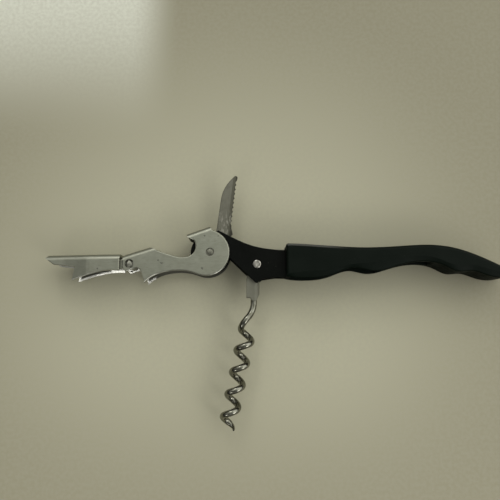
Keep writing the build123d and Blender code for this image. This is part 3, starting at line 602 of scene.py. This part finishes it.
def black_coat(name, colours, rough, grain, grain_height, shine):
    """Black moulding or paint: grain, edges lightened as wear and as a painted highlight, a painted
    highlight on the back edge, a duller finger side, hairline scratches and dust.
    """
    material, tree, shader, place = new_material(name)
    cloud = noise(tree, place, 110.0, 5.0, 0.6)
    patches = span(tree, noise(tree, place, 260.0, 4.0), 0.25, 1.0)
    # Edges are lightened as wear and as a painted highlight
    edges = product(tree, edge_share(tree, COAT_EDGE_WIDTH), patches)
    dust = pits(tree, place, 620.0, 0.5)
    hairs = noise(tree, stretched(tree, place, (240, 9000, 2400), 12.0), 1.0, 2.0)
    scratch = span(tree, hairs, 0.0, 1.0, 0.68, 0.76)

    # A highlight is painted on the back edge where it faces up and back, and only on the front of the
    # handle
    normal = add(tree, "ShaderNodeTexCoord").outputs["Normal"]
    backwards = axis_value(tree, normal, "Y")
    upwards = span(tree, axis_value(tree, normal, "Z"), 0.0, 1.0, *BACK_HIGHLIGHT_FACING)
    front = span(tree, axis_value(tree, place, "X"), 1.0, 0.0, *BACK_HIGHLIGHT_X)
    back = product(tree, upwards, span(tree, backwards, 0.0, 1.0, *BACK_HIGHLIGHT_FACING), front)

    colour = mix(tree, span(tree, cloud, 0.0, 1.0), colours["deep"], colours["worn"])
    colour = layered(tree, mix, colour, [
        (product(tree, edges, 0.5), COAT_WEAR["edge"]),
        (back, colours["back"]),
        (product(tree, dust, 0.5), COAT_WEAR["dust"]),
        (product(tree, scratch, 0.35), COAT_WEAR["scratch"]),
    ])
    link(tree, colour, shader.inputs["Base Color"])
    uneven = span(tree, noise(tree, place, 600.0, 4.0), rough - SMOOTHER_BY, rough + ROUGHER_BY)
    link(tree, blend(tree, edges, uneven, rough - EDGES_SMOOTHER_BY), shader.inputs["Roughness"])
    specular = span(tree, backwards, FINGER_SIDE_SHARE * shine, shine, *FINGER_SIDE_FACING)
    link(tree, specular, shader.inputs["Specular IOR Level"])
    relief = bump(tree, noise(tree, place, grain, 3.0), grain_height)
    relief = bump(tree, inverse(tree, scratch), 0.004 * MM, relief)
    link(tree, relief, shader.inputs["Normal"])
    return material


def pale_worktop():
    """Floor finish: pale, with painted shade towards some of its sides, a painted pool of light and fine
    speckles.
    """
    material, tree, shader, place = new_material("pale_worktop")
    away = distance(tree, place, FLOOR_MIDDLE)
    # A painted pool of light in the far left corner
    light_pool = [span(tree, axis_value(tree, place, axis), 0.0, 1.0, outer, inner)
             for axis, outer, inner in FLOOR_LIGHT_POOL_FADES]
    # Painted shade on the right and in front
    right = span(tree, axis_value(tree, place, "X"), 0.0, FLOOR_RIGHT_SHADE_SHARE, *FLOOR_RIGHT_SHADE_FADE)
    front = span(tree, axis_value(tree, place, "Y"), FLOOR_FRONT_SHADE_SHARE, 0.0, *FLOOR_FRONT_SHADE_FADE)
    # Painted shade around the middle
    colour = mix(tree, span(tree, away, 0.0, 1.0, *FLOOR_MIDDLE_FADE), FLOOR_COLOUR, FLOOR_SHADE)
    colour = layered(tree, mix, colour, [
        (product(tree, *light_pool), FLOOR_LIGHT_POOL),
        (right, FLOOR_SHADE),
        (front, FLOOR_SHADE),
        (span(tree, noise(tree, place, 700.0, 3.0), 0.0, 0.25), FLOOR_SPECKLE),
    ])
    link(tree, colour, shader.inputs["Base Color"])
    shader.inputs["Roughness"].default_value = FLOOR_ROUGHNESS
    shader.inputs["Specular IOR Level"].default_value = FLOOR_SHINE
    return material


def edge_marker(name, kind, **values):
    """Geometry nodes that pass a mesh through one node, with the mask of the mesh's sharp edges."""
    tree = bpy.data.node_groups.new(name, "GeometryNodeTree")
    tree.interface.new_socket("Geometry", in_out="INPUT", socket_type="NodeSocketGeometry")
    tree.interface.new_socket("Geometry", in_out="OUTPUT", socket_type="NodeSocketGeometry")
    node = add(tree, kind, **values)
    link(tree, add(tree, "NodeGroupInput").outputs[0], node.inputs["Geometry"])
    link(tree, node.outputs["Geometry"], add(tree, "NodeGroupOutput").inputs[0])
    angle = add(tree, "GeometryNodeInputMeshEdgeAngle").outputs["Unsigned Angle"]
    sharp = maths(tree, "GREATER_THAN", angle, math.radians(EDGE_ANGLE))
    return tree, node, sharp


def corner_marker():
    """Geometry nodes that keep the edges left sharp from being shaded as round."""
    tree, node, sharp = edge_marker("keep_corners", "GeometryNodeSetShadeSmooth", domain="EDGE")
    link(tree, sharp, node.inputs["Selection"])
    node.inputs["Shade Smooth"].default_value = False
    return tree


def outline_marker():
    """Geometry nodes that give a bevel weight to the sharp edges around the outer sides of folded sheet.

    The edges of the rivet holes get none.
    """
    tree, store, sharp = edge_marker(
        "mark_outlines", "GeometryNodeStoreNamedAttribute", domain="EDGE", data_type="FLOAT")
    place = add(tree, "GeometryNodeInputPosition").outputs[0]
    normal = add(tree, "GeometryNodeInputNormal").outputs[0]
    side = maths(tree, "SIGN", from_pivot(tree, place, "Z"))
    facing = product(tree, side, axis_value(tree, normal, "Z"))
    outer = add(tree, "GeometryNodeFieldOnDomain", domain="FACE", data_type="FLOAT")
    link(tree, maths(tree, "GREATER_THAN", facing, OUTER_FACING), outer.inputs[0])
    outline = maths(tree, "GREATER_THAN", outer.outputs[0], BESIDE_OUTER_FACE)
    weight = product(tree, sharp, outline)
    level = add(tree, "ShaderNodeVectorMath", operation="MULTIPLY")
    link(tree, place, level.inputs[0])
    level.inputs[1].default_value = (1, 1, 0)
    for hinge in HINGES.values():
        away = distance(tree, level.outputs[0], (hinge.x, hinge.y, 0))
        weight = product(tree, weight, maths(tree, "GREATER_THAN", away, RIVET_HOLE))
    store.inputs["Name"].default_value = "bevel_weight_edge"
    link(tree, weight, store.inputs["Value"])
    return tree


def weld(node, name, reach):
    """Join the points of a solid that lie within reach of each other."""
    modifier = node.modifiers.new(name, "WELD")
    modifier.merge_threshold = reach


def round_edges(node, width, corners, marker=None):
    """Round the sharp edges of a solid, or those that a marker picks, leaving its faces where they are."""
    weld(node, "join_faces", JOIN_DISTANCE)
    flat = node.modifiers.new("clean_flats", "DECIMATE")
    flat.decimate_type = "DISSOLVE"
    flat.angle_limit = math.radians(FLAT_ANGLE)
    if marker:
        node.modifiers.new("mark_outlines", "NODES").node_group = marker
    bevel = node.modifiers.new("round_edges", "BEVEL")
    bevel.width = width
    bevel.segments = EDGE_SEGMENTS
    bevel.limit_method = "WEIGHT" if marker else "ANGLE"
    bevel.angle_limit = math.radians(EDGE_ANGLE)
    bevel.use_clamp_overlap = False
    bevel.loop_slide = False
    weld(node, "clean_corners", CLEAN_DISTANCE)
    node.modifiers.new("keep_corners", "NODES").node_group = corners
    shading = node.modifiers.new("even_shading", "WEIGHTED_NORMAL")
    shading.keep_sharp = True


def studio_sky():
    """A world whose light follows the height and the side of the sky."""
    world = bpy.data.worlds.new("studio")
    world.use_nodes = True
    tree = world.node_tree
    background = tree.nodes["Background"]
    direction = add(tree, "ShaderNodeTexCoord").outputs["Generated"]
    sky = ramp(tree, axis_value(tree, direction, "Z"), SKY_STOPS)
    front = span(tree, dot(tree, direction, SKY_BRIGHT_SIDE), SKY_FRONT_SHARE, 1.0, *SKY_FRONT_FADE)
    left = span(tree, axis_value(tree, direction, "X"), SKY_LEFT_SHARE, 1.0, *SKY_LEFT_FADE)
    behind = span(tree, dot(tree, direction, SKY_DULL_PART), 1.0, SKY_DULL_SHARE, *SKY_DULL_FADE)
    link(tree, sky, background.inputs["Color"])
    link(tree, product(tree, front, left, behind), background.inputs["Strength"])
    return world


def add_lamp(name, place, size, power, colour):
    """A round lamp, aimed at the middle of the tool."""
    data = bpy.data.lights.new(name, "AREA")
    data.shape = "DISK"
    data.size = size
    data.energy = power
    data.color = colour
    light = bpy.data.objects.new(name, data)
    bpy.context.scene.collection.objects.link(light)
    light.location = place
    light.visible_camera = False
    light.rotation_euler = (-light.location).to_track_quat("-Z", "Y").to_euler()


# Finishes
nickel = satin_nickel()
moulding = black_coat(
    "black_moulding", MOULDING, rough=0.42, grain=5200.0, grain_height=0.012 * MM, shine=0.095)
paint = black_coat("black_paint", PAINT, rough=0.38, grain=3600.0, grain_height=0.008 * MM, shine=0.10)
washer_steel = plain_steel("washer_steel", WASHER, (2000, 2000, 2000))
finishes = {
    "grip": moulding,
    "frame": paint,
    "lever_arm": nickel,
    "step_arm": nickel,
    "worm_carrier": carrier_plate(),
    "worm": worm_chrome(),
    "knife": ground_blade(),
    "lever_rivet": flush_rivet("lever_rivet_steel", LEVER_RIVET, LEVER_PIVOT, LEVER_RIVET_CROWN),
    "step_rivet": flush_rivet("step_rivet_steel", STEP_RIVET, STEP_PIVOT, STEP_RIVET_CROWN),
    "worm_rivet": hammered_rivet("bright_rivet", WORM_RIVET, WORM_RIVET_DENTS),
    "step_spring": plain_steel("spring_steel", SPRING, (700, 5000, 3000)),
    "step_spacer": washer_steel,
}
for kind in ("lever_washer", "worm_washer", "knife_spacer"):
    for side in ("near", "far"):
        finishes[f"{kind}_{side}"] = washer_steel
for name, finish in finishes.items():
    mesh = nodes[name].data
    mesh.materials.clear()
    mesh.materials.append(finish)

# Edges
corners = corner_marker()
outlines = outline_marker()
for name, width in EDGE_WIDTHS.items():
    round_edges(nodes[name], width * MM, corners, outlines if name in FOLDED_SHEET else None)

# Floor
bpy.ops.mesh.primitive_plane_add(size=FLOOR_SIZE)
floor = bpy.context.object
floor.name = "floor"
floor.data.materials.append(pale_worktop())

# Light
bpy.context.scene.world = studio_sky()
for name, lamp in LAMPS.items():
    add_lamp(name, **lamp)

# Camera
camera_data = bpy.data.cameras.new("camera")
camera_data.lens = CAMERA_LENS
camera_data.sensor_width = CAMERA_SENSOR
camera_data.clip_start = CAMERA_NEAR
camera = bpy.data.objects.new("camera", camera_data)
bpy.context.scene.collection.objects.link(camera)
camera.location = CAMERA_PLACE
camera.rotation_euler = (math.radians(CAMERA_LEAN), 0, 0)
bpy.context.scene.camera = camera

bpy.context.scene.view_settings.view_transform = "Standard"
